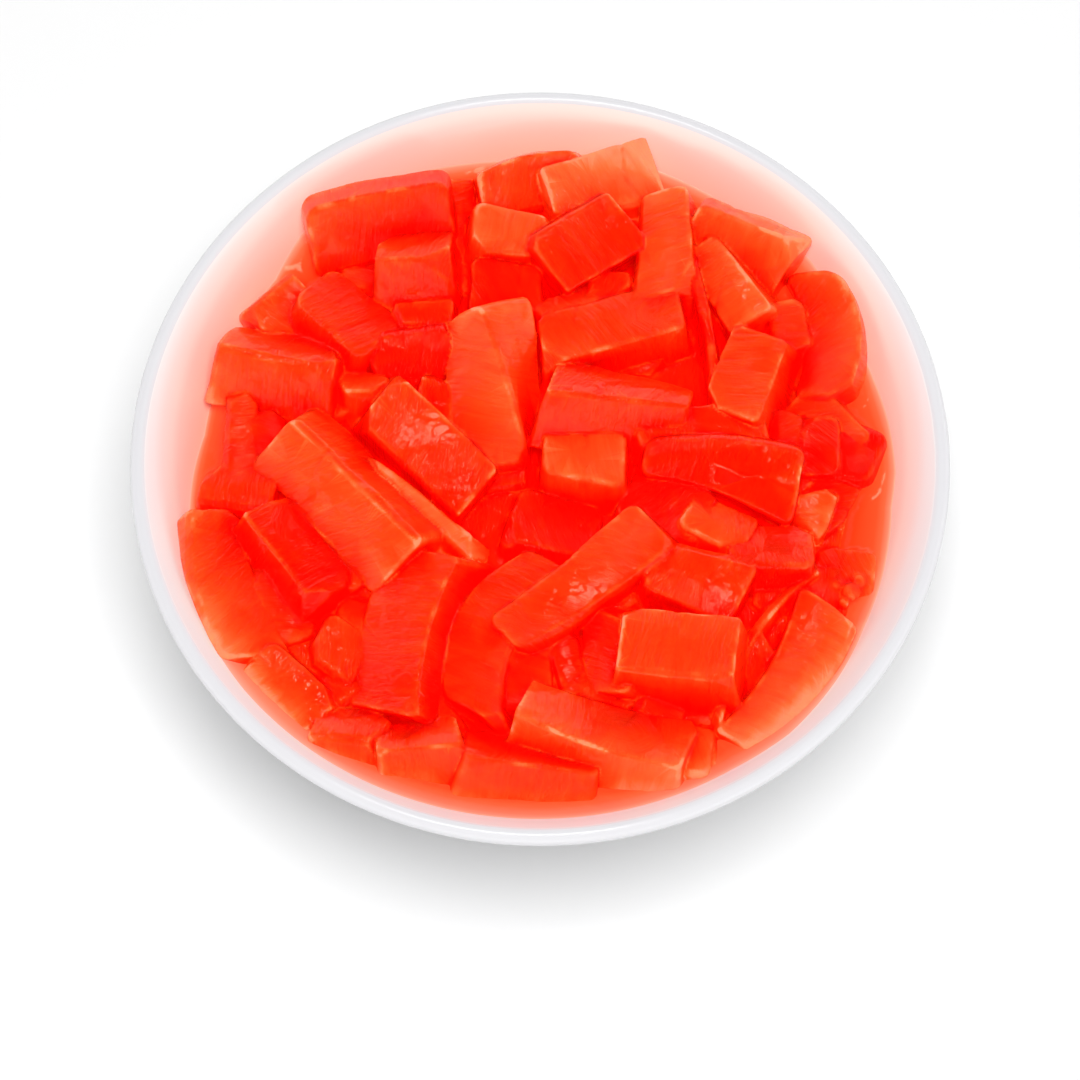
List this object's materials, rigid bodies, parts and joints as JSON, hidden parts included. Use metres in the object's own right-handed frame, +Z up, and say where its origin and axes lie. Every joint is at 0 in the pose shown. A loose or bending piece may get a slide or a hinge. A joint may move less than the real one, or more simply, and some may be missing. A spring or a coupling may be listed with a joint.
{
  "type": "bowl of coconut gel strips",
  "caption": "Round flared porcelain bowl on a foot ring, filled with a loose heap of cut red coconut gel strips in thick syrup.",
  "frame": {"origin": "centre of the foot ring's underside, on the surface that the bowl stands on", "axes": "+Z up through the bowl's axis, -Y towards the front of the picture's view, +X to its right"},
  "size_m": [0.12, 0.12, 0.0492],
  "materials": {
    "porcelain": "glossy white glaze",
    "syrup": "wet red syrup",
    "gel": "wet translucent red gel"
  },
  "bodies": {
    "root": {"bowl": "porcelain", "syrup": "syrup", "gel_heap": "gel"}
  },
  "joints": []
}
